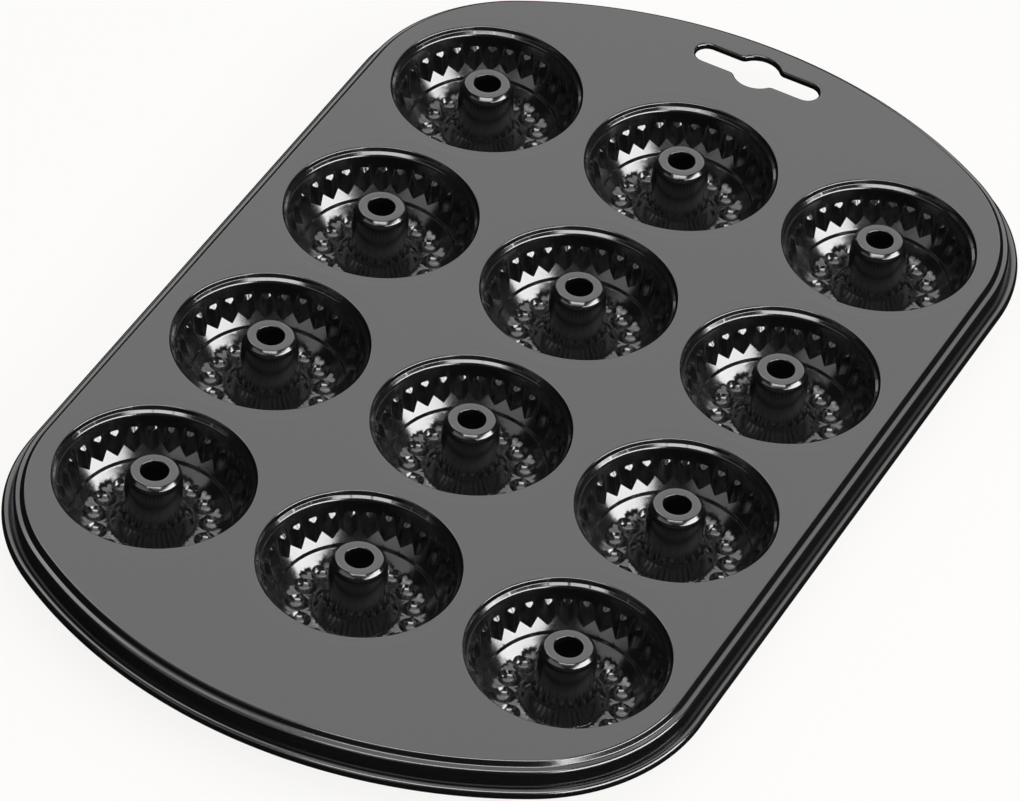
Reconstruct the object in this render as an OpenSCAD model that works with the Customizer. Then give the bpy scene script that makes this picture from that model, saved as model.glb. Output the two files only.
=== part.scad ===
// Twelve-cup mini bundt pan pressed from one steel sheet.
// The origin is under the middle of the pan, on the plane that the cups stand on.
// +Y runs along the pan towards the hanging slot, and +X runs across it.

/* [Pan] */
// Length over the rolled edge
pan_l = 420; // [410:1:450]
// Width over the rolled edge
pan_w = 265; // [262:1:280]
// Radius of the bowed ends, at the outside of the rolled edge
end_r = 187.5; // [180:0.5:230]
// Radius of the corners, at the outside of the rolled edge
corner_r = 70.9; // [62:0.1:80]
// Thickness of the sheet
sheet = 0.8; // [0.6:0.1:1]

/* [Rim] */
// Distance from the flat top to the outside of the rolled edge
rim_w = 8; // [7.6:0.1:9]
// Depth from the flat top to the underside of the rolled edge
rim_d = 12; // [10:0.5:16]
// Radius of the rolled edge
bead_r = 1.9; // [1.5:0.1:2.2]
// Depth of the step just outside the flat top
rim_step_d = 1.9; // [1.5:0.1:2.4]
// Width of the step, from the flat top to the start of the skirt
rim_step_w = 3.4; // [3:0.1:3.6]

/* [Cups] */
// Cups across the pan
cups_across = 3; // [1:1:3]
// Cups along the pan
cups_along = 4; // [1:1:4]
// Distance between cup centres across the pan
pitch_across = 81.5; // [78:0.5:82]
// Distance between cup centres along the pan
pitch_along = 82.2; // [78:0.2:84]
// Radius where the flat top starts to roll into a cup
mouth_r = 36.3; // [36:0.1:38]
// Depth of the small ledge inside the mouth
ledge_d = 1.8; // [1.4:0.1:2.4]
// Radius of the wall just under the ledge
wall_r = 34.3; // [34:0.1:34.8]
// Radius at the foot of the wall, where the shoulder starts
shoulder_r = 31.8; // [31.5:0.1:32.4]
// Depth of the foot of the wall
shoulder_d = 14.3; // [13.6:0.1:15]
// Radius of the small step under the shoulder
step_r = 28.2; // [27.4:0.1:28.8]
// Depth of the small step under the shoulder
step_d = 18.1; // [17.4:0.1:18.8]
// Height of the small step
step_h = 0.9; // [0.5:0.1:1.2]
// Depth of the floor between the lobes
floor_d = 22.8; // [22.2:0.1:23.4]
// Radius where the floor starts inside the lower slope
floor_r = 23.6; // [22.8:0.1:24.4]

/* [Ribs] */
// V-shaped ribs round the wall of each cup
rib_count = 30; // [24:2:36]
// Angle between the two faces of a rib
rib_angle = 120; // [110:1:130]
// Radius of a rib's edge at its upper tip
rib_tip_r = 31.6; // [31.2:0.1:32]
// Depth of a rib's upper tip
rib_tip_d = 8.9; // [8:0.1:9.6]
// How much nearer to the axis a rib's edge is at the foot of the wall than at its tip
rib_lean = 1.7; // [1.2:0.1:2.2]
// Turn of the ribs and lobes in each column of cups
column_turn = [1.5, 3.5, 8]; // [0:0.5:12]

/* [Lobes] */
// Round lobes in the bottom of each cup
lobe_count = 15; // [12:1:16]
// Radius of a lobe
lobe_r = 4.9; // [4.6:0.1:5.2]
// Radius of the circle that the lobes stand on
lobe_ring_r = 20.3; // [19.8:0.1:20.8]
// Depth of the lowest point inside a cup
cup_d = 25; // [24.6:0.1:25.4]
// Height that is pressed flat at the bottom of each lobe, where the pan stands
lobe_flat = 0.3; // [0.2:0.1:0.5]

/* [Chimney] */
// Height of the chimney above the flat top
chimney_h = 2.5; // [2:0.1:4]
// Radius of the chimney's flat top ring
chimney_top_r = 8.4; // [8:0.1:8.7]
// Height of the top ring above the chimney's shoulder
chimney_step_h = 1; // [0.8:0.1:1.4]
// Radius of the chimney just under its shoulder
chimney_r = 9.5; // [9.3:0.1:10]
// Radius of the chimney at the depth of the floor
chimney_foot_r = 11.9; // [11:0.1:12.6]
// Radius of the hole through the chimney
hole_r = 4.6; // [4:0.1:5]
// Height of the turned-down edge of that hole
hole_edge_h = 2.2; // [2:0.1:4]

/* [Hanging slot] */
// Length of the slot
slot_l = 51; // [44:1:60]
// Width of the slot at its ends
slot_w = 9.6; // [8:0.2:12]
// Width of the slot's round middle
slot_mid_w = 18; // [15:0.5:20]
// Distance from the slot's centre line to the middle of the end of the pan
slot_edge = 23; // [22:0.5:25]
// Height of the turned-down edge of the slot
slot_edge_h = 2.4; // [1.5:0.1:4]

/* [Hidden] */
coated_steel = [0.12, 0.12, 0.125];
turn_fn = 96;
outline_fn = 180;
fillet_steps = 2;
bead_steps = 20;
// Overlap of sheets that are joined into one
lap = 1;
// Room past a surface for the solids that are cut away
spare = 4;

// Half sizes of the flat top, before it rolls down into the rim
top_x = pan_w / 2 - rim_w;
top_y = pan_l / 2 - rim_w;
end_top_r = end_r - rim_w;
corner_top_r = corner_r - rim_w;
end_y = top_y - end_top_r;
corner_x = top_x - corner_top_r;
corner_y = end_y + sqrt(pow(end_top_r - corner_top_r, 2) - pow(corner_x, 2));

// Far point of the line that parts a corner of the outline from an end
joint = [7 * corner_x, end_y + 7 * (corner_y - end_y)];

// Height of the flat top above the plane that the cups stand on
top_z = cup_d + sheet;

function unit(v) = v / norm(v);
function left_of(v) = [-v[1], v[0]];
function flat(path) = [for (p = path) [p[0], p[1]]];
function backwards(list) = [for (i = [len(list) - 1 : -1 : 0]) list[i]];

// Points of an arc of radius r that rounds the corner b between a and c
function corner_arc(a, b, c, r) =
    let (u = unit(a - b), v = unit(c - b),
         half = acos(u * v) / 2,
         centre = b + unit(u + v) * r / sin(half),
         from = b + u * r / tan(half) - centre,
         to_corner = b - centre,
         side = sign(from[0] * to_corner[1] - from[1] * to_corner[0]),
         sweep = side * (180 - 2 * half))
    [for (i = [0 : fillet_steps])
        let (t = sweep * i / fillet_steps)
        centre + from * cos(t) + left_of(from) * sin(t)];

// A path of corners [x, z, radius] with each corner rounded by its radius
function rounded(path) =
    let (p = flat(path), last = len(path) - 1)
    [for (i = [0 : last])
        each (i == 0 || i == last || path[i][2] == 0)
            ? [p[i]]
            : corner_arc(p[i - 1], p[i], p[i + 1], path[i][2])];

// The same corners moved d to the left of the path, with radii to match
function shifted(path, d) =
    let (p = flat(path), last = len(path) - 1)
    [for (i = [0 : last])
        let (after = unit(p[min(i, last - 1) + 1] - p[min(i, last - 1)]),
             before = i == 0 ? after : unit(p[i] - p[i - 1]),
             n = left_of(before) + left_of(after),
             q = p[i] + n * d / (1 + before * after),
             turn = sign(before[0] * after[1] - before[1] * after[0]),
             r = path[i][2])
        [q[0], q[1], r == 0 ? 0 : max(r - d * turn, 0)]];

// Upper surface of a cup, down the wall and up the chimney into its hole
cup_path = [
    [mouth_r + lap, 0, 0],
    [mouth_r - 0.9, 0, 0.8],
    [mouth_r - 1, -ledge_d, 0.3],
    [wall_r, -ledge_d - 0.3, 0.4],
    [shoulder_r, -shoulder_d, 0],
    [step_r, -step_d, 0],
    [step_r - 0.2, -step_d - step_h, 0],
    [floor_r, -floor_d, 0],
    [chimney_foot_r, -floor_d, 1.5],
    [chimney_r, chimney_h - chimney_step_h - 0.6, 0.7],
    [chimney_top_r + 0.1, chimney_h - chimney_step_h, 0.3],
    [chimney_top_r, chimney_h, 0.5],
    [hole_r, chimney_h, 0.8],
    [hole_r, chimney_h - hole_edge_h, 0],
];
cup_back = shifted(cup_path, sheet);

// Change of a rib edge's radius for each millimetre of height
rib_slope = rib_lean / (shoulder_d - rib_tip_d);
rib_turn = 360 / rib_count;
lobe_turn = 360 / lobe_count;

// Upper surface of the rim, from the flat top out and down to the rolled edge
bead_x = rim_w - bead_r;
bead_z = bead_r - rim_d;
rim_path = [
    [-lap, 0, 0],
    [0.8, 0, 1],
    [1.5, -rim_step_d, 0.3],
    [rim_step_w, -rim_step_d - 0.5, 0.8],
    [bead_x - bead_r + sheet + 0.15, bead_z, 0],
];
rim_back = shifted(rim_path, -sheet);

// Heights where the mouth, the ribs and the bottom of a cup meet, and the radius
// where the bottom meets the chimney
ribs_z = wall_r - rib_tip_d - rib_tip_r + 0.5;
bottom_z = -step_d - step_h * 0.6;
chimney_join_r = chimney_foot_r + 2;

// Corner on the line through a and b at height z
function at_z(a, b, z) = [a[0] + (b[0] - a[0]) * (z - a[1]) / (b[1] - a[1]), z, 0];

function sheet_outline(front, back) = concat(rounded(front), backwards(rounded(back)));

// The roll, the ledge and the smooth part of the wall
module cup_mouth() {
    front = cup_path;
    back = cup_back;
    rotate_extrude($fn = turn_fn)
        polygon(sheet_outline(
            concat([for (i = [0 : 3]) front[i]], [at_z(front[3], front[4], ribs_z)]),
            concat([for (i = [0 : 3]) back[i]], [at_z(back[3], back[4], ribs_z)])));
}

module chimney() {
    last = len(cup_path) - 1;
    join_front = [chimney_join_r, cup_path[8][1], 0];
    join_back = [chimney_join_r, cup_back[8][1], 0];
    rotate_extrude($fn = turn_fn)
        polygon(sheet_outline(
            concat([join_front], [for (i = [8 : last]) cup_path[i]]),
            concat([join_back], [for (i = [8 : last]) cup_back[i]])));
}

// Hollow of a cup as its ribs bound it: two flat sides and a flat tip at 45 degrees on
// each rib, with the sides running down to a point on the axis
module rib_hollow() {
    half = rib_turn / 2;
    widen = sin(rib_angle / 2) / sin(rib_angle / 2 - half);
    rise = rib_tip_r * (widen * cos(half) - 1) / (1 - widen * cos(half) * rib_slope);
    valley_r = widen * (rib_tip_r + rib_slope * rise);
    n = rib_count;
    polyhedron(
        points = concat(
            [for (i = [0 : n - 1])
                [rib_tip_r * cos(i * rib_turn), rib_tip_r * sin(i * rib_turn), -rib_tip_d]],
            [for (i = [0 : n - 1])
                let (t = i * rib_turn + half)
                [valley_r * cos(t), valley_r * sin(t), rise - rib_tip_d]],
            [[0, 0, -rib_tip_d - rib_tip_r / rib_slope], [0, 0, 10 * rib_tip_r]]),
        faces = concat(
            [for (i = [0 : n - 1]) [i, n + i, 2 * n]],
            [for (i = [0 : n - 1]) [n + i, (i + 1) % n, 2 * n]],
            [for (i = [0 : n - 1]) [i, n + (i + n - 1) % n, n + i]],
            [for (i = [0 : n - 1]) [n + i, n + (i + n - 1) % n, 2 * n + 1]]));
}

// Inside of a path in the band of the ribs, made longer by over at both ends
module inside_wall(path, over) {
    rotate_extrude($fn = turn_fn)
        polygon([
            [0, ribs_z + over],
            flat([at_z(path[3], path[4], ribs_z + over)])[0],
            flat([path[4]])[0],
            flat([path[5]])[0],
            flat([at_z(path[5], path[6], bottom_z - over)])[0],
            [0, bottom_z - over],
        ]);
}

module ribbed_wall() {
    difference() {
        inside_wall(cup_back, 0);
        intersection() {
            inside_wall(cup_path, 1);
            rib_hollow();
        }
    }
}

// Everything under a path, from the small step to the foot of the chimney
module under_bottom(path, over) {
    reach = step_r + spare + over;
    low = -cup_d - spare - over;
    rotate_extrude($fn = turn_fn)
        polygon([
            [reach, bottom_z + over],
            flat([at_z(path[5], path[6], bottom_z + over)])[0],
            flat([path[6]])[0],
            flat([path[7]])[0],
            [chimney_join_r - over, path[7][1]],
            [chimney_join_r - over, low],
            [reach, low],
        ]);
}

// Balls that press the lobes, flat where the pan stands
module lobes(grow) {
    low = cup_d + grow;
    intersection() {
        union()
            for (i = [0 : lobe_count - 1])
                rotate([0, 0, rib_turn / 2 + i * lobe_turn])
                    translate([lobe_ring_r, 0, -cup_d + lobe_r - lobe_flat])
                        sphere(r = lobe_r + grow, $fn = 32);
        translate([0, 0, -low])
            cylinder(r = step_r + spare, h = low - bottom_z - 0.5, $fn = turn_fn);
    }
}

module cup_bottom() {
    difference() {
        under_bottom(cup_path, 0);
        lobes(0);
        difference() {
            under_bottom(cup_back, 1);
            lobes(sheet);
        }
    }
}

module cup() {
    cup_mouth();
    ribbed_wall();
    cup_bottom();
    chimney();
}

// The pan's outline at the flat top, moved out by o
module outline(o) {
    square([2 * (top_x + o), 2 * corner_y], center = true);
    for (x = [-1, 1], y = [-1, 1])
        translate([x * corner_x, y * corner_y])
            circle(r = corner_top_r + o, $fn = outline_fn);
    for (y = [-1, 1])
        intersection() {
            translate([0, y * end_y])
                circle(r = end_top_r + o, $fn = outline_fn);
            polygon([[0, y * end_y], [joint[0], y * joint[1]], [-joint[0], y * joint[1]]]);
        }
}

// The hanging slot, wider by o all round
module slot(o) {
    end_x = (slot_l - slot_w) / 2;
    translate([0, pan_l / 2 - slot_edge]) {
        circle(r = slot_mid_w / 2 + o, $fn = turn_fn);
        square([2 * end_x, slot_w + 2 * o], center = true);
        for (x = [-1, 1])
            translate([x * end_x, 0])
                circle(r = slot_w / 2 + o, $fn = turn_fn);
    }
}

module at_cups() {
    for (i = [0 : cups_across - 1], j = [0 : cups_along - 1])
        translate([(i - (cups_across - 1) / 2) * pitch_across, (j - (cups_along - 1) / 2) * pitch_along])
            rotate([0, 0, column_turn[i]])
                children();
}

// The flat top between the cups, with the turned-down edge of the slot
module plate() {
    translate([0, 0, -sheet])
        linear_extrude(sheet)
            difference() {
                outline(-lap / 2);
                at_cups()
                    circle(r = mouth_r + lap / 2, $fn = turn_fn);
                slot(0);
            }
    translate([0, 0, -slot_edge_h])
        linear_extrude(slot_edge_h)
            difference() {
                slot(sheet);
                slot(0);
            }
}

// Where the line from a to b enters the rolled edge
function bead_entry(a, b) =
    let (u = unit(b - a), to_middle = [bead_x, bead_z] - a, along = to_middle * u)
    a + u * (along - sqrt(pow(bead_r, 2) - to_middle * to_middle + pow(along, 2)));

// Section of the rim, starting at the distance r of the flat top's edge: the sheet's
// front, round the rolled edge and up the back
module rim_section(r) {
    front = rounded(rim_path);
    back = rounded(rim_back);
    last = len(front) - 1;
    last_back = len(back) - 1;
    from = bead_entry(front[last - 1], front[last]) - [bead_x, bead_z];
    to = bead_entry(back[last_back - 1], back[last_back]) - [bead_x, bead_z];
    start = atan2(from[1], from[0]);
    turn = atan2(to[1], to[0]) - 360 - start;
    translate([r, 0])
        polygon(concat(
            [for (i = [0 : last - 1]) front[i]],
            [for (i = [0 : bead_steps])
                let (t = start + turn * i / bead_steps)
                [bead_x + bead_r * cos(t), bead_z + bead_r * sin(t)]],
            [for (i = [last_back - 1 : -1 : 0]) back[i]]));
}

module rim_corner() {
    intersection() {
        translate([corner_x, corner_y])
            rotate_extrude(angle = 90, $fn = outline_fn)
                rim_section(corner_top_r);
        translate([0, 0, -rim_d - spare])
            linear_extrude(rim_d + 2 * spare)
                polygon([[0, end_y], [3 * joint[0], end_y], joint]);
    }
}

module rim_end() {
    intersection() {
        translate([0, end_y, 0])
            rotate([0, 0, 30])
                rotate_extrude(angle = 120, $fn = outline_fn)
                    rim_section(end_top_r);
        translate([0, 0, -rim_d - spare])
            linear_extrude(rim_d + 2 * spare)
                polygon([[0, end_y], joint, [-joint[0], joint[1]]]);
    }
}

module rim_side() {
    translate([0, corner_y, 0])
        rotate([90, 0, 0])
            linear_extrude(2 * corner_y)
                rim_section(top_x);
}

module rim() {
    for (x = [0, 1])
        mirror([x, 0, 0]) {
            rim_side();
            rim_corner();
            mirror([0, 1, 0])
                rim_corner();
        }
    rim_end();
    mirror([0, 1, 0])
        rim_end();
}

module pan() {
    color(coated_steel)
        translate([0, 0, top_z]) {
            plate();
            rim();
            at_cups()
                cup();
        }
}

pan();
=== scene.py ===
import math

import bmesh
import bpy
import numpy as np
from mathutils import Matrix, Vector
from mathutils.geometry import delaunay_2d_cdt


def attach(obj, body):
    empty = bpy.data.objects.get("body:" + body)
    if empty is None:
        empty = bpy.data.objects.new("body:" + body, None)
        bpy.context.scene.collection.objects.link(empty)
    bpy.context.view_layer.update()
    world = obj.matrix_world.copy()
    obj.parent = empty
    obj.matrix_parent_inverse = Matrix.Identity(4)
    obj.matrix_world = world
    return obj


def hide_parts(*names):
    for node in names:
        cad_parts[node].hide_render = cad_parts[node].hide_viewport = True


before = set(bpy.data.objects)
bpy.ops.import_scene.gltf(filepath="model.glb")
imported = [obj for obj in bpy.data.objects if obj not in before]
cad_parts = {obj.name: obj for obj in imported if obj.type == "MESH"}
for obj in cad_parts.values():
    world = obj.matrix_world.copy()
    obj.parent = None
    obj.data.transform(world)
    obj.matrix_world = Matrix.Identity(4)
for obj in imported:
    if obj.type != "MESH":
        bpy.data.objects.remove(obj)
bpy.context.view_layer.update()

MM = 0.001

# Sizes of the pan in millimetres: _R is a radius, _W a width, _L a length, _H a height, and
# _D a depth under the flat top. The lip, the ledge, the ribs, the lobes, the chimney and the
# rim's ledge are a little closer to the photo than the part's source
PAN_L, PAN_W, END_R, CORNER_R, SHEET = 420.0, 265.0, 187.5, 70.9, 0.8
RIM_W, RIM_D, BEAD_R, RIM_STEP_D, RIM_STEP_W = 8.0, 12.0, 1.9, 1.9, 3.9
RIM_EDGE_W, RIM_CHAMFER_W, RIM_LEDGE_FALL, SKIRT_GAP = 0.3, 1.7, 0.6, 0.15
ACROSS, ALONG, PITCH_X, PITCH_Y = 3, 4, 81.5, 82.2
LIP_R, LEDGE_R, LEDGE_D, WALL_R, WALL_D = 36.05, 35.4, 1.65, 33.95, 2.75
SHOULDER_R, SHOULDER_D, STEP_R, STEP_D, STEP_H, STEP_LEAN = 31.8, 14.3, 28.2, 18.0, 1.3, 0.25
FLOOR_D, FLOOR_R, FOOT_R, KNEE_R, KNEE_D = 23.0, 23.9, 15.2, 11.3, 17.0
RIBS, RIB_ANGLE, RIB_TIP_R, RIB_TIP_D, RIB_LEAN = 30, 129.0, 31.6, 8.9, 1.47
LOBES, LOBE_R, LOBE_RING_R, CUP_D, LOBE_FLAT = 15, 4.9, 20.3, 25.0, 0.1
CHIMNEY_H, CHIMNEY_TOP_R, SHOULDER_H = 2.5, 8.1, 1.35
NECK_R, NECK_H, NECK_FLARE, HOLE_R, HOLE_EDGE_H = 9.6, 1.6, 0.5, 4.9, 2.2
SLOT_L, SLOT_W, SLOT_MID_W, SLOT_EDGE, SLOT_EDGE_H = 51.0, 9.6, 18.0, 23.0, 2.4
SLOT_BLEND_R, SLOT_ROLL_R, SLOT_FLAT_W = 3.0, 1.5, 0.2

# Turn in degrees of each cup, for the cups from the near end to the slot in each row
CUP_TURN = ((0.9, 1.5, -2.9, 5.5), (3.25, 3.5, 4.6, -1.8), (8.75, 14.5, 7.6, 9.0))

# Faint pressed ring in the flat top round each mouth
RING_R, RING_W, RING_DROP = 40.2, 0.7, 0.035

# Flat margins where the cups and the rim meet the flat top
LAP, RIM_LAP = 0.3, 1.0

# Roundings as (radius, points on the curve), for the corners of a cup. Its underside takes
# no more than BACK_POINTS on a curve
NO_ROUND, RING_ROUND, LIP_ROUND, LEDGE_ROUND = (0.0, 1), (0.3, 3), (0.9, 6), (0.5, 4)
WALL_ROUND, RIB_ROUND, STEP_TOP_ROUND, STEP_FOOT_ROUND = (1.7, 7), (0.25, 2), (0.5, 4), (0.6, 4)
FLOOR_ROUND, FOOT_ROUND, LOBE_ROUND, KNEE_ROUND = (3.0, 11), (2.5, 11), (0.7, 4), (6.0, 4)
NECK_ROUND, SHOULDER_ROUND, TOP_ROUND, HOLE_ROUND = (1.0, 3), (0.6, 4), (1.3, 6), (0.7, 5)
BACK_POINTS = 3

# Roundings of the rim, on its upper side and on its underside
RIM_ROUND = [NO_ROUND, (1.1, 7), (1.0, 7), (1.6, 10), NO_ROUND]
RIM_BACK_ROUND = [NO_ROUND, (0.3, 3), (0.9, 4), (0.3, 3), NO_ROUND]

# Share of the skirt that stands free of the rolled edge, and the roll: the angle in radians
# where it starts, its share of a full turn, and the points along it
SKIRT_SHARE, ROLL_START, ROLL_SHARE, ROLL_POINTS = 0.8, 0.12, 0.93, 30

# Cut edge of the slot's turned-down sheet, its underside, and the points along its roll
SLOT_CUT_H, SLOT_CUT_FROM, SLOT_CUT_TO = 0.12, 0.25, 0.55
SLOT_BACK_D, SLOT_BACK_IN, SLOT_ROLL_POINTS = 1.4, 0.05, 9

# Softness in degrees of a rib's edge, and how much of it is taken back at the tip
RIB_SOFT, RIB_SOFT_BACK = 0.3, 0.6

# Columns of a cup in degrees from a lobe's middle, on the upper side and on the underside.
# They lie close together at the edges of the ribs, 6 degrees from that middle
FRONT_COLUMNS = [0, 2, 3.8, 5, 5.6, 6, 6.4, 7, 8.2, 10.2]
BACK_COLUMNS = [0, 3, 5.2, 6, 6.8, 9]

# Rows of a cup outside the lobe, in the lobe and inside it, on the upper side and on the
# underside, and the room in millimetres that they leave at the lobe's edge
FRONT_ROWS, BACK_ROWS = (4, 8, 8), (2, 4, 4)
LOBE_ROOM_OUT, LOBE_ROOM_IN = 1.4, 1.2
LOBE_FROM, LOBE_TO = 0.17, 0.83

# Points along each side, corner and end of the outline, and along the arcs of the slot
SIDE_POINTS, CORNER_POINTS, END_POINTS = 18, 44, 80
SLOT_END_POINTS, SLOT_BLEND_POINTS, SLOT_MID_POINTS = 20, 7, 22

TOP_Z = CUP_D + SHEET
TOP_X, TOP_Y = PAN_W / 2 - RIM_W, PAN_L / 2 - RIM_W
END_TOP_R, CORNER_TOP_R = END_R - RIM_W, CORNER_R - RIM_W
END_Y, CORNER_X = TOP_Y - END_TOP_R, TOP_X - CORNER_TOP_R
CORNER_Y = END_Y + math.sqrt((END_TOP_R - CORNER_TOP_R) ** 2 - CORNER_X ** 2)
SLOT_Y = PAN_L / 2 - SLOT_EDGE

# Camera, in metres
LENS, SENSOR_W = 231.9, 36.0
CAMERA_PLACE = (0.7056, -1.5792, 1.6103)
CAMERA_RIGHT, CAMERA_AHEAD = (0.8813, 0.4674, 0.0699), (-0.3005, 0.6683, -0.6805)

# Colours and finish
PALE = (0.947, 0.939, 0.922, 1)
PAPER = (0.8, 0.79, 0.78, 1)
PAPER_GLOW = 0.95
PAPER_MIRRORED = (0.015, 0.015, 0.015, 1)
COATING_DEEP, COATING_THIN = (0.0016, 0.0016, 0.0017, 1), (0.0032, 0.0032, 0.0033, 1)
COATING_SMOOTH, COATING_ROUGH, COATING_IOR, COATING_SHINE = 0.13, 0.18, 1.5, 0.8
GRAIN_SCALE, GRAIN_STRENGTH, GRAIN_HEIGHT = 1400.0, 0.05, 0.0002
ROOM_GREY, ROOM_STRENGTH = (0.5, 0.5, 0.5, 1), 0.04

# Soft boxes as name, azimuth and elevation in degrees, distance, width and height in metres,
# and radiance
PANELS = (
    ("key", -5, 35, 2.2, 2.6, 0.75, 13.0),
    ("side", -110, 41, 2.2, 2.2, 0.5, 1.3),
    ("above_camera", -66, 63, 2.2, 1.6, 0.55, 9.0),
    ("backdrop", 114, 42, 2.6, 5.0, 2.9, 1.9),
    ("backdrop_left", 172, 58, 2.6, 1.3, 1.1, 1.6),
    ("top", 100, 86, 3.2, 2.4, 2.6, 1.5),
)


def make_camera():
    data = bpy.data.cameras.new("camera")
    data.sensor_fit = "HORIZONTAL"
    data.sensor_width = SENSOR_W
    data.lens = LENS
    data.clip_start, data.clip_end = 0.05, 50.0
    camera = bpy.data.objects.new("camera", data)
    bpy.context.scene.collection.objects.link(camera)
    right = Vector(CAMERA_RIGHT).normalized()
    ahead = Vector(CAMERA_AHEAD).normalized()
    up = right.cross(ahead).normalized()
    right = ahead.cross(up).normalized()
    turn = Matrix((right, up, -ahead)).transposed().to_4x4()
    camera.matrix_world = Matrix.Translation(CAMERA_PLACE) @ turn
    bpy.context.scene.camera = camera


def make_object(name, points, faces, material, smooth=True):
    mesh = bpy.data.meshes.new(name)
    mesh.from_pydata([tuple(p) for p in np.asarray(points) * MM], [], faces)
    mesh.validate()
    mesh.materials.append(material)
    mesh.polygons.foreach_set("use_smooth", [smooth] * len(mesh.polygons))
    mesh.update()
    obj = bpy.data.objects.new(name, mesh)
    bpy.context.scene.collection.objects.link(obj)
    return obj


def weld(obj, distance=0.004):
    """Joins points that lie closer together than the distance in millimetres."""
    mesh = bmesh.new()
    mesh.from_mesh(obj.data)
    bmesh.ops.remove_doubles(mesh, verts=mesh.verts, dist=distance * MM)
    mesh.to_mesh(obj.data)
    mesh.free()
    obj.data.update()


def weigh_normals(obj, sharp_angle=29):
    """Keeps the large faces flat in the light, and edges over the angle in degrees sharp."""
    obj.data.set_sharp_from_angle(angle=math.radians(sharp_angle))
    modifier = obj.modifiers.new("normals", "WEIGHTED_NORMAL")
    modifier.mode = "FACE_AREA"
    modifier.weight = 80
    modifier.keep_sharp = True


def grid_faces(rows, columns, flip=False, start=0):
    """Faces of a grid of points whose columns close into a ring."""
    faces = []
    for i in range(rows - 1):
        for j in range(columns):
            k = (j + 1) % columns
            a, b = start + i * columns, start + (i + 1) * columns
            face = (a + j, a + k, b + k, b + j)
            faces.append(face[::-1] if flip else face)
    return faces


def unit(v):
    size = np.linalg.norm(v, axis=-1, keepdims=True)
    return np.divide(v, size, out=np.zeros_like(v), where=size > 1e-9)


def round_path(corners, roundings, most=0.46):
    """Rounds a path of corners, given for many columns at once as (columns, corners, 2).
    A rounding with one point keeps its corner, and none takes more than most of a side."""
    out = []
    for i, (radius, count) in enumerate(roundings):
        b = corners[:, i]
        if count < 2 or i in (0, len(roundings) - 1):
            out.append(b)
            continue
        a, c = corners[:, i - 1], corners[:, i + 1]
        u, v = unit(a - b), unit(c - b)
        half = np.arccos(np.clip((u * v).sum(1), -1, 1)) / 2
        half = np.clip(half, 0.05, math.pi / 2 - 1e-3)
        room = most * np.minimum(np.linalg.norm(a - b, axis=1), np.linalg.norm(c - b, axis=1))
        t = np.minimum(radius / np.tan(half), room)
        p, q = b + u * t[:, None], b + v * t[:, None]
        for k in range(count):
            w = math.pi / 2 * k / (count - 1)
            out.append(b + (p - b) * (1 - math.sin(w)) + (q - b) * (1 - math.cos(w)))
    return np.stack(out, axis=1)


def round_one(path, roundings):
    """Rounds the corners of a single path."""
    return round_path(np.array([path], float), roundings)[0]


def shift_path(points, distance):
    """Corners of a path moved to its left."""
    p = np.array(points, float)
    way = unit(p[1:] - p[:-1])
    before = np.vstack([way[:1], way])
    after = np.vstack([way, way[-1:]])
    left = np.stack([-before[:, 1] - after[:, 1], before[:, 0] + after[:, 0]], 1)
    return p + left * distance / (1 + (before * after).sum(1, keepdims=True))


# Corners of a cup's section as (radius, height over the flat top): the ring, the lip, the
# ledge, the wall, the shoulder, the small step, the floor, and the chimney up to its hole
CUP_PATH = [
    (RING_R + LAP, 0), (RING_R, 0), (RING_R - RING_W, -RING_DROP),
    (LIP_R, -RING_DROP), (LEDGE_R, -LEDGE_D), (WALL_R, -WALL_D), (SHOULDER_R, -SHOULDER_D),
    (STEP_R, -STEP_D), (STEP_R - STEP_LEAN, -STEP_D - STEP_H), (FLOOR_R, -FLOOR_D),
    (FOOT_R, -FLOOR_D), (KNEE_R, -KNEE_D),
    (NECK_R + NECK_FLARE, CHIMNEY_H - SHOULDER_H - NECK_H),
    (NECK_R, CHIMNEY_H - SHOULDER_H), (CHIMNEY_TOP_R, CHIMNEY_H),
    (HOLE_R, CHIMNEY_H), (HOLE_R, CHIMNEY_H - HOLE_EDGE_H),
]


def line_through(a, b):
    """Slope and height at radius 0 of the line through two points of a section."""
    slope = (b[1] - a[1]) / (b[0] - a[0])
    return slope, a[1] - slope * a[0]


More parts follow.
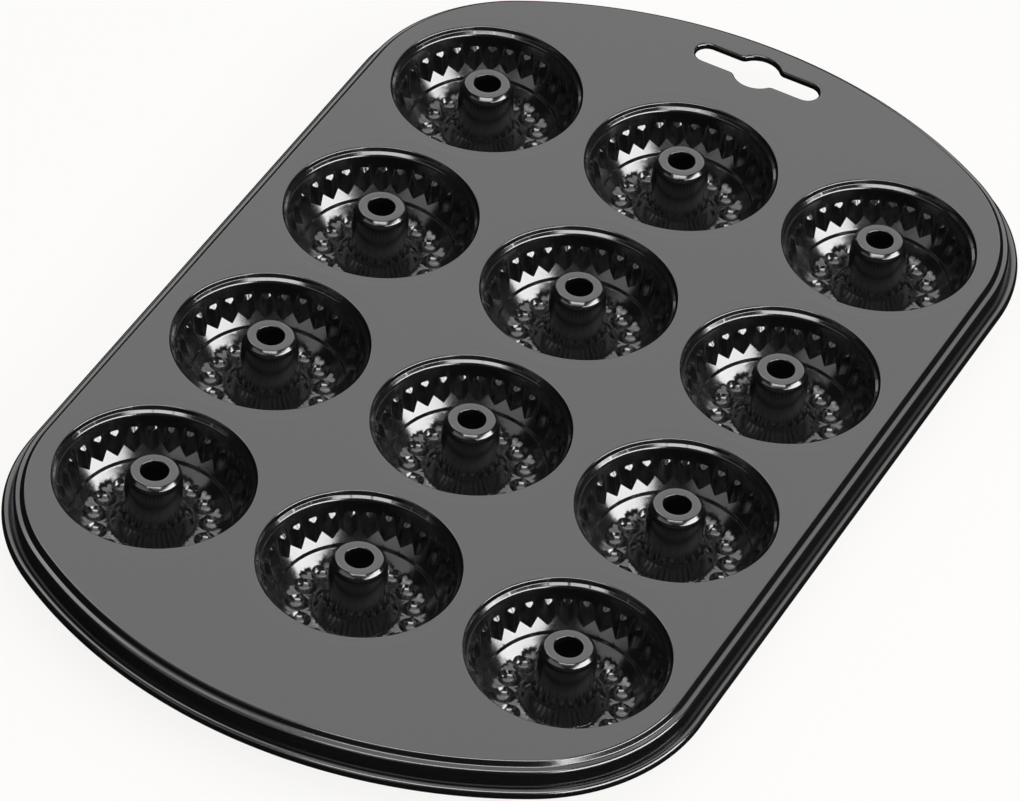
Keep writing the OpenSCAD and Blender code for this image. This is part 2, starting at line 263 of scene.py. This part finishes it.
def wall_rows(wall_top, wall_foot, step_top, angles, back):
    """Radii and heights where the ribs start, bend and end in each column."""
    half = math.radians(RIB_ANGLE / 2)
    lean = RIB_LEAN / (SHOULDER_D - RIB_TIP_D)
    out = back / math.sin(half)
    drop = (back * math.sqrt(2) - out) / (1 - lean)
    tip_r, tip_z = RIB_TIP_R + out - lean * drop, -RIB_TIP_D - drop
    pitch = 360 / RIBS
    off = np.abs((np.abs(angles) % pitch) - pitch / 2)
    off = np.radians(np.sqrt(off ** 2 + RIB_SOFT ** 2) - RIB_SOFT * RIB_SOFT_BACK)
    wall_slope, wall_z = line_through(wall_top, wall_foot)
    cone_slope, cone_z = line_through(wall_foot, step_top)
    tip_slope, tip_zero = np.cos(off), tip_z - tip_r
    side_slope, side_zero = np.sin(half - off) / math.sin(half) / lean, tip_z - tip_r / lean
    tip_on_wall = (tip_zero - wall_z) / (wall_slope - tip_slope)
    side_on_tip = (side_zero - tip_zero) / (tip_slope - side_slope)
    side_on_wall = (side_zero - wall_z) / (wall_slope - side_slope)
    side_on_cone = (side_zero - cone_z) / (cone_slope - side_slope)
    has_tip = side_on_tip < tip_on_wall
    has_side = side_on_wall > wall_foot[0]
    start = np.where(has_tip, tip_on_wall, np.where(has_side, side_on_wall, wall_foot[0]))
    bend = np.where(has_tip, side_on_tip, start)
    end = np.where(has_tip | has_side, np.minimum(side_on_cone, wall_foot[0]), wall_foot[0])
    start_z = wall_z + wall_slope * start
    bend_z = np.where(has_tip, tip_zero + tip_slope * bend, start_z)
    return (start, start_z), (bend, bend_z), (end, cone_z + cone_slope * end)


def crossing(gap, inside, outside):
    """Place between inside and outside where gap turns from negative to positive."""
    for _ in range(40):
        middle = (inside + outside) / 2
        below = gap(middle) < 0
        inside, outside = np.where(below, middle, inside), np.where(below, outside, middle)
    return (inside + outside) / 2


def halfway(a, b):
    return (a[0] + b[0]) / 2, (a[1] + b[1]) / 2


class Base:
    """Floor of a cup without its lobes, measured along its length from the small step."""

    def __init__(self, *corners):
        self.points = round_one(corners, [NO_ROUND, FLOOR_ROUND, FOOT_ROUND, NO_ROUND])
        steps = np.linalg.norm(self.points[1:] - self.points[:-1], axis=1)
        self.length = np.concatenate([[0], np.cumsum(steps)])

    def at(self, s):
        r, z = self.points[:, 0], self.points[:, 1]
        return np.interp(s, self.length, r), np.interp(s, self.length, z)

    def where(self, radius):
        return np.interp(-radius, -self.points[:, 0], self.length)


def lobe_rows(base, angles, back, counts):
    """Rows of points down the floor, through the lobe in each column, and up to the chimney,
    as (point, rounding)."""
    across = LOBE_RING_R * np.sin(np.radians(angles))
    middle = LOBE_RING_R * np.cos(np.radians(angles))
    ball = np.sqrt((LOBE_R + back) ** 2 - across ** 2)
    ball_z = -CUP_D + LOBE_R - LOBE_FLAT

    def gap(s):
        r, z = base.at(s)
        depth = ball ** 2 - (r - middle) ** 2
        return np.where(depth > 0, ball_z - np.sqrt(np.maximum(depth, 0)) - z, 1.0)

    under = base.where(middle)
    outer = crossing(gap, under, np.zeros_like(middle))
    inner = crossing(gap, under, np.full_like(middle, base.length[-1]))
    outer_r, outer_z = base.at(outer)
    inner_r, inner_z = base.at(inner)
    before, within, after = counts

    rows = []
    for i in range(before):
        s = np.maximum(outer - LOBE_ROOM_OUT, outer / 2) * (i + 1) / before
        rows.append((base.at(s), NO_ROUND))
    rows.append(((outer_r, outer_z), LOBE_ROUND))
    first = np.arctan2(outer_z - ball_z, outer_r - middle)
    last = np.arctan2(inner_z - ball_z, inner_r - middle)
    for share in np.linspace(LOBE_FROM, LOBE_TO, within):
        a = first + (last - first) * share
        z = np.maximum(ball_z + ball * np.sin(a), -CUP_D - back)
        rows.append(((middle + ball * np.cos(a), z), NO_ROUND))
    rows.append(((inner_r, inner_z), LOBE_ROUND))
    for i in range(after):
        s = inner + LOBE_ROOM_IN + (base.length[-1] - inner - LOBE_ROOM_IN) * i / (after - 1)
        rows.append((base.at(s), NO_ROUND))
    return rows


def cup_section(angles, back):
    """Section of a cup in each column, with angles in degrees from the middle of a lobe.
    back is 0 for the upper side, and the sheet's thickness for the underside."""
    path = [np.array(p, float) for p in (shift_path(CUP_PATH, back) if back else CUP_PATH)]
    (edge, ring_out, ring_in, lip, ledge, wall_top, wall_foot, step_top, step_foot, floor_edge,
     foot, knee, neck, shoulder, top_edge, hole_edge, hole_low) = path
    front = back == 0
    ring_round = RING_ROUND if front else NO_ROUND
    start, bend, end = wall_rows(wall_top, wall_foot, step_top, angles, back)
    # the floor runs most of the way up to the knee of the chimney
    base = Base(step_foot, floor_edge, foot, foot * 0.3 + knee * 0.7)
    rows = [
        (edge, NO_ROUND), (ring_out, ring_round), (ring_in, ring_round),
        (lip, LIP_ROUND), (ledge, LEDGE_ROUND), (wall_top, WALL_ROUND),
        (halfway(start, wall_top), NO_ROUND), (start, RIB_ROUND), (bend, RIB_ROUND),
        (halfway(bend, end), NO_ROUND), (end, NO_ROUND),
        (halfway(end, step_top), NO_ROUND), (step_top, STEP_TOP_ROUND),
        (step_foot, STEP_FOOT_ROUND),
    ]
    rows += lobe_rows(base, angles, back, FRONT_ROWS if front else BACK_ROWS)
    rows += [
        (knee, KNEE_ROUND), (halfway(knee, neck), NO_ROUND), (neck, NECK_ROUND),
        (shoulder, SHOULDER_ROUND), (top_edge, TOP_ROUND), (hole_edge, HOLE_ROUND),
        (hole_low, NO_ROUND),
    ]
    corners, roundings = [], []
    for (r, z), (radius, count) in rows:
        columns = [np.broadcast_to(r, len(angles)), np.broadcast_to(z, len(angles))]
        corners.append(np.stack(columns, 1).astype(float))
        roundings.append((radius, count if front else min(count, BACK_POINTS)))
    return round_path(np.stack(corners, 1), roundings)


def cup_mesh():
    """Points and faces of a cup, and the rings where its two sides meet the flat top."""
    points, faces, rings = [], [], []
    for half, back in ((FRONT_COLUMNS, 0.0), (BACK_COLUMNS, SHEET)):
        lobe = np.array([-x for x in half[:0:-1]] + half + [180 / LOBES])
        section = cup_section(np.tile(lobe, LOBES), back)
        turn = np.concatenate([lobe + i * 360 / LOBES for i in range(LOBES)]) + 180 / RIBS
        turn = np.radians(turn)[None]
        r, z = section[..., 0].T, section[..., 1].T
        grid = np.stack([r * np.cos(turn), r * np.sin(turn), z], 2)
        start = len(points)
        points += list(grid.reshape(-1, 3))
        faces += grid_faces(grid.shape[0], grid.shape[1], flip=back == 0, start=start)
        rings.append(grid[0, :, :2])
    return np.array(points), faces, rings


def outline_points(o):
    """Points of the flat top's outline moved out by o, with their outward directions."""
    turn = math.atan2(CORNER_Y - END_Y, CORNER_X)
    points, ways = [], []

    def arc(x, y, r, a0, a1, count):
        for i in range(count):
            a = a0 + (a1 - a0) * i / count
            points.append((x + r * math.cos(a), y + r * math.sin(a)))
            ways.append((math.cos(a), math.sin(a)))

    def side(x, y0, y1, way):
        for i in range(SIDE_POINTS):
            points.append((x, y0 + (y1 - y0) * i / SIDE_POINTS))
            ways.append((way, 0))

    def corner(x, y, a0, a1):
        arc(x, y, CORNER_TOP_R + o, a0, a1, CORNER_POINTS)

    def end(y, a0, a1):
        arc(0, y, END_TOP_R + o, a0, a1, END_POINTS)

    pi = math.pi
    side(TOP_X + o, -CORNER_Y, CORNER_Y, 1)
    corner(CORNER_X, CORNER_Y, 0, turn)
    end(END_Y, turn, pi - turn)
    corner(-CORNER_X, CORNER_Y, pi - turn, pi)
    side(-TOP_X - o, CORNER_Y, -CORNER_Y, -1)
    corner(-CORNER_X, -CORNER_Y, pi, pi + turn)
    end(-END_Y, pi + turn, 2 * pi - turn)
    corner(CORNER_X, -CORNER_Y, 2 * pi - turn, 2 * pi)
    return np.array(points), np.array(ways)


def slot_points():
    """Points round the hanging slot, with their directions into the sheet."""
    r, big, blend, pi = SLOT_W / 2, SLOT_MID_W / 2, SLOT_BLEND_R, math.pi
    end_x = (SLOT_L - SLOT_W) / 2
    blend_x = math.sqrt((big + blend) ** 2 - (r + blend) ** 2)
    turn = math.atan2(r + blend, blend_x)
    points, ways = [], []

    def arc(x, y, radius, a0, a1, count, way=1):
        for i in range(count + 1):
            a = a0 + (a1 - a0) * i / count
            points.append((x + radius * math.cos(a), y + radius * math.sin(a)))
            ways.append((way * math.cos(a), way * math.sin(a)))

    def blend_arc(x, y, a0, a1):
        arc(x, y, blend, a0, a1, SLOT_BLEND_POINTS, -1)

    arc(end_x, 0, r, -pi / 2, pi / 2, SLOT_END_POINTS)
    blend_arc(blend_x, r + blend, -pi / 2, turn - pi)
    arc(0, 0, big, turn, pi - turn, SLOT_MID_POINTS)
    blend_arc(-blend_x, r + blend, -turn, -pi / 2)
    arc(-end_x, 0, r, pi / 2, 3 * pi / 2, SLOT_END_POINTS)
    blend_arc(-blend_x, -r - blend, pi / 2, turn)
    arc(0, 0, big, pi + turn, 2 * pi - turn, SLOT_MID_POINTS)
    blend_arc(blend_x, -r - blend, pi - turn, pi / 2)
    points, ways = np.array(points), np.array(ways)
    # where two arcs meet, one of their two end points goes
    apart = np.linalg.norm(points - np.roll(points, 1, axis=0), axis=1) > 1e-4
    points, ways = points[apart], ways[apart]
    points[:, 1] += SLOT_Y
    return points, ways


def sweep(ring, ways, section):
    """Grid of points that carries a section of (outward, height) round a ring."""
    rows = []
    for u, z in section:
        rows.append(np.concatenate([ring + ways * u, np.full((len(ring), 1), z)], 1))
    return np.concatenate(rows)


def inside(loop, x, y):
    """Whether a point lies inside a loop."""
    a, b = loop, np.roll(loop, 1, axis=0)
    crosses = (a[:, 1] > y) != (b[:, 1] > y)
    height = np.where(crosses, b[:, 1] - a[:, 1], 1.0)
    reach = a[:, 0] + (b[:, 0] - a[:, 0]) * (y - a[:, 1]) / height
    return np.count_nonzero(crosses & (x < reach)) % 2 == 1


def flat_region(outer, holes, z, up):
    """Flat region inside the outer loop and outside the holes."""
    points, edges = [], []
    for loop in [outer] + holes:
        first, count = len(points), len(loop)
        points += [Vector((float(x), float(y))) for x, y in loop]
        edges += [(first + i, first + (i + 1) % count) for i in range(count)]
    flat, _, triangles, _, _, _ = delaunay_2d_cdt(points, edges, [], 1, 1e-5)
    boxes = [(hole.min(0), hole.max(0), hole) for hole in holes]
    faces = []
    for triangle in triangles:
        x = sum(flat[i].x for i in triangle) / len(triangle)
        y = sum(flat[i].y for i in triangle) / len(triangle)
        near = [hole for low, high, hole in boxes
                if low[0] < x < high[0] and low[1] < y < high[1]]
        if any(inside(hole, x, y) for hole in near):
            continue
        faces.append(tuple(triangle) if up else tuple(triangle[::-1]))
    return np.array([(p.x, p.y, z) for p in flat]), faces


def add_socket(group, name, value):
    socket = group.interface.new_socket(name=name, in_out="INPUT", socket_type="NodeSocketFloat")
    socket.default_value = value


def grain_group():
    """Fine grain of the sprayed coating, as a normal and a speck mask."""
    group = bpy.data.node_groups.new("coating_grain", "ShaderNodeTree")
    add_socket(group, "Scale", GRAIN_SCALE)
    add_socket(group, "Strength", GRAIN_STRENGTH)
    group.interface.new_socket(name="Normal", in_out="OUTPUT", socket_type="NodeSocketVector")
    group.interface.new_socket(name="Speck", in_out="OUTPUT", socket_type="NodeSocketFloat")
    nodes, link = group.nodes, group.links.new
    given, result = nodes.new("NodeGroupInput"), nodes.new("NodeGroupOutput")
    place = nodes.new("ShaderNodeTexCoord")
    noise = nodes.new("ShaderNodeTexNoise")
    noise.inputs["Detail"].default_value = 3.0
    bump = nodes.new("ShaderNodeBump")
    bump.inputs["Distance"].default_value = GRAIN_HEIGHT
    link(place.outputs["Object"], noise.inputs["Vector"])
    link(given.outputs["Scale"], noise.inputs["Scale"])
    link(noise.outputs["Fac"], bump.inputs["Height"])
    link(given.outputs["Strength"], bump.inputs["Strength"])
    link(bump.outputs["Normal"], result.inputs["Normal"])
    link(noise.outputs["Fac"], result.inputs["Speck"])
    return group


def steel_material():
    """Steel under a glossy black coating."""
    material = bpy.data.materials.new("coated_steel")
    material.use_nodes = True
    nodes, link = material.node_tree.nodes, material.node_tree.links.new
    shader = nodes["Principled BSDF"]
    shader.inputs["Metallic"].default_value = 0.0
    shader.inputs["IOR"].default_value = COATING_IOR
    shader.inputs["Specular IOR Level"].default_value = COATING_SHINE
    grain = nodes.new("ShaderNodeGroup")
    grain.node_tree = grain_group()
    grain.inputs["Scale"].default_value = GRAIN_SCALE
    grain.inputs["Strength"].default_value = GRAIN_STRENGTH
    colour = nodes.new("ShaderNodeMix")
    colour.data_type = "RGBA"
    colour.inputs["A"].default_value = COATING_DEEP
    colour.inputs["B"].default_value = COATING_THIN
    rough = nodes.new("ShaderNodeMapRange")
    rough.inputs["To Min"].default_value = COATING_SMOOTH
    rough.inputs["To Max"].default_value = COATING_ROUGH
    link(grain.outputs["Speck"], colour.inputs["Factor"])
    link(colour.outputs["Result"], shader.inputs["Base Color"])
    link(grain.outputs["Speck"], rough.inputs["Value"])
    link(rough.outputs["Result"], shader.inputs["Roughness"])
    link(grain.outputs["Normal"], shader.inputs["Normal"])
    return material


def floor_material():
    """Pale paper to the camera, and dark in the pan's reflections."""
    material = bpy.data.materials.new("floor_paper")
    material.use_nodes = True
    nodes, link = material.node_tree.nodes, material.node_tree.links.new
    paper = nodes["Principled BSDF"]
    paper.inputs["Base Color"].default_value = PAPER
    paper.inputs["Roughness"].default_value = 0.9
    paper.inputs["Specular IOR Level"].default_value = 0.0
    glow = nodes.new("ShaderNodeEmission")
    glow.inputs["Color"].default_value = PALE
    dark = nodes.new("ShaderNodeEmission")
    dark.inputs["Color"].default_value = PAPER_MIRRORED
    path = nodes.new("ShaderNodeLightPath")
    share = nodes.new("ShaderNodeMath")
    share.operation = "MULTIPLY"
    share.inputs[1].default_value = PAPER_GLOW
    seen = nodes.new("ShaderNodeMixShader")
    mirrored = nodes.new("ShaderNodeMixShader")
    link(path.outputs["Is Camera Ray"], share.inputs[0])
    link(share.outputs[0], seen.inputs["Fac"])
    link(paper.outputs["BSDF"], seen.inputs[1])
    link(glow.outputs["Emission"], seen.inputs[2])
    link(path.outputs["Is Glossy Ray"], mirrored.inputs["Fac"])
    link(seen.outputs["Shader"], mirrored.inputs[1])
    link(dark.outputs["Emission"], mirrored.inputs[2])
    link(mirrored.outputs["Shader"], nodes["Material Output"].inputs["Surface"])
    return material


def build_cups(material):
    """Twelve cups that share a mesh, and the loops where they meet the flat top."""
    points, faces, rings = cup_mesh()
    cups, loops = [], ([], [])
    for i in range(ACROSS):
        for j in range(ALONG):
            x, y = (i - (ACROSS - 1) / 2) * PITCH_X, (j - (ALONG - 1) / 2) * PITCH_Y
            name = f"cup_{i + 1}_{j + 1}"
            if cups:
                cup = bpy.data.objects.new(name, cups[0].data)
                bpy.context.scene.collection.objects.link(cup)
            else:
                cup = make_object(name, points, faces, material)
                weld(cup)
            weigh_normals(cup)
            a = math.radians(CUP_TURN[i][j])
            cup.location = (x * MM, y * MM, TOP_Z * MM)
            cup.rotation_euler = (0, 0, a)
            cups.append(cup)
            turn = np.array([[math.cos(a), math.sin(a)], [-math.sin(a), math.cos(a)]])
            for loop, ring in zip(loops, rings):
                loop.append(ring @ turn + np.array([x, y]))
    return cups, loops


def build_flat_top(loops, outer, slot_loop, material):
    """Upper side and underside of the flat top."""
    sides = (("flat_top", loops[0], 0.0, True), ("flat_top_underside", loops[1], -SHEET, False))
    pieces = []
    for name, mouths, z, up in sides:
        points, faces = flat_region(outer, mouths + [slot_loop], TOP_Z + z, up)
        pieces.append(make_object(name, points, faces, material, smooth=False))
    return pieces


def build_rim(outer, ways, material):
    """Chamfer, ledge, skirt and rolled edge, carried round the outline of the flat top."""
    bead_x, bead_z = RIM_W - BEAD_R, BEAD_R - RIM_D
    path = [
        (-RIM_LAP, 0), (RIM_EDGE_W, 0), (RIM_CHAMFER_W, -RIM_STEP_D),
        (RIM_STEP_W, -RIM_STEP_D - RIM_LEDGE_FALL), (bead_x - BEAD_R + SHEET + SKIRT_GAP, bead_z),
    ]
    front = round_one(path, RIM_ROUND)
    back = round_one(shift_path(path, -SHEET), RIM_BACK_ROUND)
    # the skirt ends where it meets the rolled edge
    front[-1] = np.array(path[-2]) + (np.array(path[-1]) - np.array(path[-2])) * SKIRT_SHARE
    start = math.atan2(front[-1][1] - bead_z, front[-1][0] - bead_x)
    # the edge rolls almost all the way round, back to the underside
    bead = [(bead_x + BEAD_R * math.cos(start - a), bead_z + BEAD_R * math.sin(start - a))
            for a in np.linspace(ROLL_START, 2 * math.pi * ROLL_SHARE, ROLL_POINTS)]
    section = [tuple(p) for p in front] + bead + [tuple(p) for p in back[::-1]]
    section = [(u + RIM_LAP, z + TOP_Z) for u, z in section]
    faces = grid_faces(len(section), len(outer))
    rim = make_object("rim", sweep(outer, ways, section), faces, material)
    weigh_normals(rim)
    return rim


def build_slot_edge(slot, ways, material):
    """Turned-down edge of the hanging slot: the roll, the cut edge and the underside."""
    r, flat, low = SLOT_ROLL_R, SLOT_ROLL_R + SLOT_FLAT_W, -SLOT_EDGE_H
    cut_low = low - SLOT_CUT_H
    edge = [(flat, 0), (r, 0)]
    edge += [(r - r * math.sin(a), -r + r * math.cos(a))
             for a in np.linspace(ROLL_START, math.pi / 2, SLOT_ROLL_POINTS)]
    edge += [(0, low), (SLOT_CUT_FROM, cut_low), (SLOT_CUT_TO, cut_low), (SHEET, low)]
    edge += [(SHEET, -SLOT_BACK_D), (r - SLOT_BACK_IN, -SHEET), (flat, -SHEET)]
    section = [(u, z + TOP_Z) for u, z in edge]
    faces = grid_faces(len(section), len(slot), flip=True)
    piece = make_object("slot_edge", sweep(slot, ways, section), faces, material)
    weigh_normals(piece)
    return piece


def build_pan(material):
    cups, loops = build_cups(material)
    outer, outer_ways = outline_points(-RIM_LAP)
    slot, slot_ways = slot_points()
    slot_loop = slot + slot_ways * (SLOT_ROLL_R + SLOT_FLAT_W)
    pieces = cups + build_flat_top(loops, outer, slot_loop, material)
    pieces.append(build_rim(outer, outer_ways, material))
    pieces.append(build_slot_edge(slot, slot_ways, material))
    for piece in pieces:
        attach(piece, "root")
    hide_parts("pan")


def add_panel(name, azimuth, elevation, distance, width, height, radiance):
    """Soft box seen from the pan towards that azimuth and elevation."""
    data = bpy.data.lights.new(name, "AREA")
    data.shape = "RECTANGLE"
    data.size, data.size_y = width, height
    data.energy = radiance * math.pi * width * height
    panel = bpy.data.objects.new(name, data)
    bpy.context.scene.collection.objects.link(panel)
    a, e = math.radians(azimuth), math.radians(elevation)
    way = Vector((math.cos(a) * math.cos(e), math.sin(a) * math.cos(e), math.sin(e)))
    panel.location = way * distance
    panel.rotation_mode = "QUATERNION"
    panel.rotation_quaternion = way.to_track_quat("Z", "Y")
    panel.visible_camera = False


def build_world():
    """Dim grey room, which the camera sees as a pale background."""
    world = bpy.data.worlds.new("studio")
    bpy.context.scene.world = world
    world.use_nodes = True
    nodes, link = world.node_tree.nodes, world.node_tree.links.new
    dim = nodes["Background"]
    dim.inputs["Color"].default_value = ROOM_GREY
    dim.inputs["Strength"].default_value = ROOM_STRENGTH
    pale = nodes.new("ShaderNodeBackground")
    pale.inputs["Color"].default_value = PALE
    path = nodes.new("ShaderNodeLightPath")
    mix = nodes.new("ShaderNodeMixShader")
    link(path.outputs["Is Camera Ray"], mix.inputs["Fac"])
    link(dim.outputs["Background"], mix.inputs[1])
    link(pale.outputs["Background"], mix.inputs[2])
    link(mix.outputs["Shader"], nodes["World Output"].inputs["Surface"])


def build_floor(half=6.0, below=0.0002):
    """Floor, half of its width in metres each way and just below the pan."""
    mesh = bpy.data.meshes.new("floor")
    corners = [(-half, -half, 0), (half, -half, 0), (half, half, 0), (-half, half, 0)]
    mesh.from_pydata(corners, [], [(0, 1, 2, 3)])
    mesh.materials.append(floor_material())
    floor = bpy.data.objects.new("floor", mesh)
    bpy.context.scene.collection.objects.link(floor)
    floor.location.z = -below


bpy.context.scene.view_settings.view_transform = "Standard"
make_camera()
steel = steel_material()
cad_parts["pan"].data.materials.clear()
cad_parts["pan"].data.materials.append(steel)
build_pan(steel)
for panel in PANELS:
    add_panel(*panel)
build_world()
build_floor()
